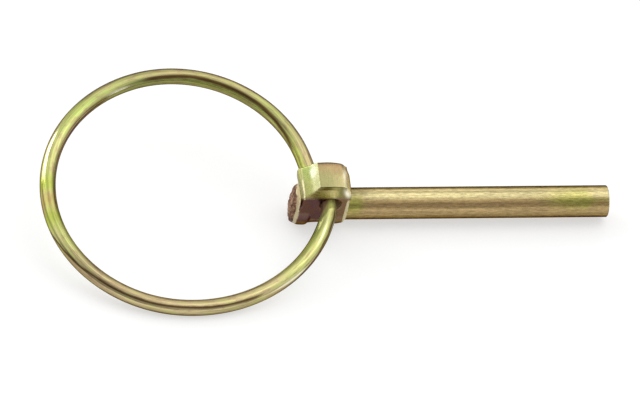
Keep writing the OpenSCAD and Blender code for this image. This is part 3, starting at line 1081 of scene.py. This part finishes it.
def worn_brow(metal, block):
    """The brow is painted lighter and sandy, as light, with a painted cream highlight and a painted bright
    highlight spot at its near end.
    """
    x, y, z = metal.x, metal.y, metal.z
    brow = metal.rising(x, -1.6, -1.2) * metal.rising(z, 7.3, 8.2)
    block = metal.mix(brow * 0.8, block, BROW_SAND)
    # painted highlight along the brow
    pale = metal.near(x + metal.wander * 0.6 - y * 0.08, -1.46, 0.42) * metal.rising(z, 8.3, 8.9)
    block = metal.mix(pale * metal.near(y, 0.6, 1.9), block, BROW_CREAM)
    # painted highlight spot
    spot = metal.near(x + (z - 8.2) * 0.35, -1.12, 0.5) * metal.near(z, 8.3, 0.95)
    block = metal.mix(spot * metal.falling(y, -2.0, -1.2), block, BROW_SPOT)
    low_front = metal.rising(x, -1.0, -0.85) * metal.falling(z, 5.5, 6.5)
    return metal.mix(low_front, block, FRONT_OLIVE)


def front_edge(metal):
    """1 along the near upright edge of the front wall, where a highlight is painted."""
    return metal.rising(metal.x - metal.y * 0.1, -0.62, -0.42) * metal.falling(metal.z, 5.8, 6.8) \
        * metal.falling(metal.y, -3.0, -2.7)


def end_wall(metal):
    """1 on the end wall, above a wandering line; below it the end wall keeps the walls' painted shade."""
    on_wall = metal.falling(metal.x, END_WALL_X, END_WALL_X + 0.08)
    return on_wall * metal.rising(metal.across + metal.wander, 0.6, 1.3)


def end_wall_ridge(metal):
    """1 where a highlight is painted along the end wall's worn upper edge, most on the near side."""
    ridge = metal.near(metal.x + metal.wander * 0.3, -9.1, 0.15) * metal.rising(metal.z, 6.6, 7.0)
    worn = metal.between(metal.mottle, 0.3, 0.55, 0.35, 0.9) * metal.between(metal.y, -0.4, 1.8, 1.0, 0.3)
    return ridge * worn


def sheared_end(metal):
    """The sheared end: where it is, where on it the torn face is, the streaks on that, and the colour."""
    wander = metal.wander
    from_tip = metal.vector("SUBTRACT", {0: metal.where, 1: tuple(SHEAR_TIP)})
    slant = metal.vector("DOT_PRODUCT", {0: from_tip, 1: tuple(NEAR_FOOT)}, out="Value") * SHEAR_SLANT
    deep = metal.vector("DOT_PRODUCT", {0: from_tip, 1: tuple(SHEAR_AXIS)}, out="Value") + slant
    on_axis = metal.vector("SCALE", {0: tuple(SHEAR_AXIS), "Scale": deep})
    radius = metal.vector("LENGTH", {0: metal.vector("SUBTRACT", {0: from_tip, 1: on_axis})}, out="Value")
    streaks = metal.noise((1.0, 2.0, 0.6), detail=4.0, rough=0.65, shift=31.0)
    colour = metal.mix(metal.rising(streaks, 0.38, 0.62), RUST, TORN_PINK)
    colour = metal.mix(metal.rising(metal.mottle, 0.5, 0.7), colour, TORN_BROWN)
    colour = metal.mix(metal.near(radius, 3.1, 0.25) * 0.7, colour, TORN_EDGE)
    torn = metal.falling(deep - wander * 0.5, 1.2, 1.45) \
        * metal.falling(radius + wander * 0.7 - slant * 0.4, 3.75, 3.95)
    end = metal.falling(deep - wander * 0.4, 1.75, 2.15) * metal.falling(radius, 4.05, 4.2) \
        * metal.falling(metal.z, 4.3, 4.6)
    return end, torn * end, streaks, metal.mix(torn, RIM_CREAM, colour)


def in_bore(metal, hole_x, depth):
    """1 inside a hole: depth is the distance in from its side of the head."""
    off = metal.node("ShaderNodeCombineXYZ", {}, {0: metal.x - hole_x, 2: metal.z - RING_Z})
    radius = metal.vector("LENGTH", {0: off}, out="Value")
    return metal.falling(radius, BORE_R, BORE_R + 0.15) * metal.rising(depth, 0.05, 0.25) \
        * metal.falling(depth, WALL_Y - 0.5, WALL_Y - 0.4)


def plated_forging():
    """Yellow zinc over the forged and sheared pin, patchy from face to face, with painted highlights and
    painted shade.
    """
    metal = ForgingFinish("yellow_zinc_forging")
    front, back = front_edge(metal), end_wall(metal)
    end, torn, streaks, end_colour = sheared_end(metal)
    bored = in_bore(metal, NEAR_HOLE_X, metal.y + WALL_Y) + in_bore(metal, FAR_HOLE_X, WALL_Y - metal.y)
    above = metal.rising(metal.z + metal.wander * 0.3, WALL_TOP - 0.25, WALL_TOP + 0.75)
    block = worn_brow(metal, metal.mix(above, walls(metal), over_walls(metal)))
    # painted highlight along the front wall's near edge
    block = metal.mix(front, block, FRONT_CREAM)
    block = metal.mix(back, block, END_WALL_GREEN)
    # painted highlight along the end wall's upper edge
    block = metal.mix(end_wall_ridge(metal), block, END_WALL_CREAM)
    block = metal.mix(end, block, end_colour)
    # painted light: the bores are painted pale pink so their shade inside reads lighter
    block = metal.mix(bored, block, BORE_PINK)
    on_bar = metal.rising(metal.x, -0.35, 0.0)
    grain = (0.13 - on_bar * 0.05) * metal.ripple(metal.grit, 0.2, 1.0)
    dull = metal.maths("MAXIMUM", back * 0.55 + front * 0.9, end * 0.9 + bored * 0.9)
    height = metal.grit * 0.3 + metal.mottle * 0.5 + streaks * 2.0 * torn + metal.lines * (on_bar * 0.8)
    metal.surface({
        "Base Color": metal.shade(metal.mix(on_bar, block, plated_bar(metal)), 1.0 + grain),
        "Roughness": metal.between(metal.mottle, 0.3, 0.7, 0.24, 0.34) + 0.3 * torn,
        "Metallic": 1 - dull * (1 - on_bar),
        "Specular Tint": EDGE_TINT,
        "Normal": metal.bump(0.4, 0.05, height)})
    return metal.material


wire_finish = plated_wire()
for wire in wires.values():
    wire.data.materials.append(wire_finish)
pin.data.materials.append(plated_forging())


# ---------------------------------------------------------------- what rides on what


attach(pin, "pin_body")
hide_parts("pin")
for name, wire in wires.items():
    if name == "ring_bow":
        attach(wire, "ring_body")
    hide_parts("spring_ring")
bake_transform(wires["ring_near_arm"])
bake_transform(wires["ring_far_arm"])
